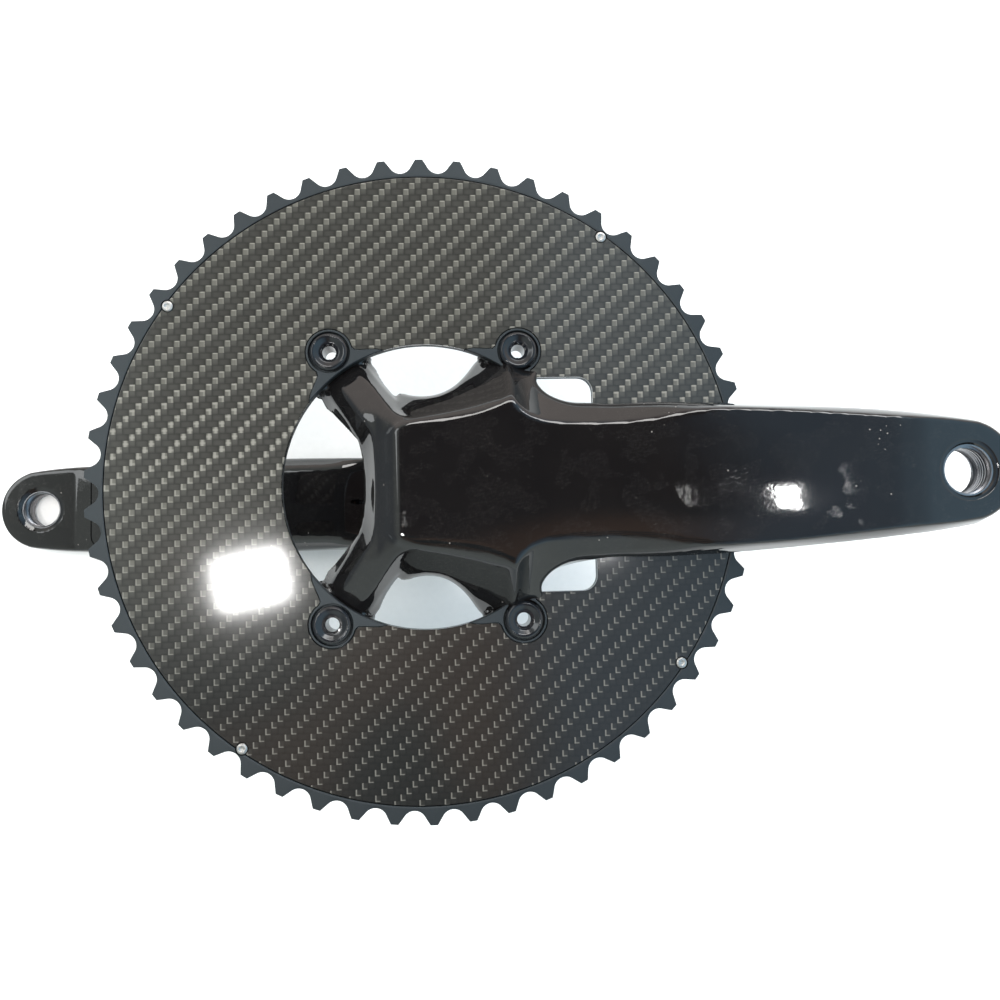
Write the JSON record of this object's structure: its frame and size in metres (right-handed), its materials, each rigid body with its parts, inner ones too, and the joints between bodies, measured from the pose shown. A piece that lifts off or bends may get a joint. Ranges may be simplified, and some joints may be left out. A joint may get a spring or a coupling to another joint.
{
  "type": "bicycle crankset",
  "caption": "Hollow crank arms on a steel spindle with a toothed chainring, a carbon face plate, ring bolts, clamp bolts, a stopper plate and a preload cap.",
  "frame": {"origin": "on the spindle's axis, midway between the two pedal faces, which is the centre of the bounding box", "axes": "+X along the chainring side's arm, +Z along the spindle towards the chainring side, +Y across the arms"},
  "size_m": [0.375, 0.2216, 0.146],
  "materials": {
    "gloss_black_alloy": "piano black gloss over forged aluminium",
    "satin_alloy": "dark blue-grey satin anodised",
    "carbon_twill": "2x2 twill carbon under a gloss clear coat",
    "spindle_steel": "fine ground steel",
    "black_steel": "black gloss plated steel",
    "rivet_silver": "bright rivet",
    "black_plastic": "moulded"
  },
  "bodies": {
    "crank": {"right_arm": "gloss_black_alloy", "right_arm_cover": "gloss_black_alloy", "left_arm": "gloss_black_alloy", "left_arm_cover": "gloss_black_alloy", "spindle": "spindle_steel", "chainring": "satin_alloy", "face_plate": "carbon_twill", "rivet_1": "rivet_silver", "rivet_2": "rivet_silver", "rivet_3": "rivet_silver", "rivet_4": "rivet_silver", "chainring_bolt_1": "black_steel", "chainring_bolt_2": "black_steel", "chainring_bolt_3": "black_steel", "chainring_bolt_4": "black_steel", "chainring_nut_1": "black_steel", "chainring_nut_2": "black_steel", "chainring_nut_3": "black_steel", "chainring_nut_4": "black_steel", "clamp_bolt_1": "black_steel", "clamp_bolt_2": "black_steel", "clamp_washer_1": "black_steel", "clamp_washer_2": "black_steel"},
    "stopper": {"stopper_plate": "black_plastic"},
    "cap": {"preload_cap": "black_plastic"}
  },
  "joints": [
    {"name": "stopper_hinge", "type": "hinge", "parent": "crank", "child": "stopper", "pos_m": [-0.0185, 0, -0.053], "axis": [0, -1, 0], "range_deg": [0, 25]},
    {"name": "cap_turn", "type": "hinge", "parent": "crank", "child": "cap", "pos_m": [0, 0, -0.063], "axis": [0, 0, -1], "range_deg": [0, 360]}
  ]
}
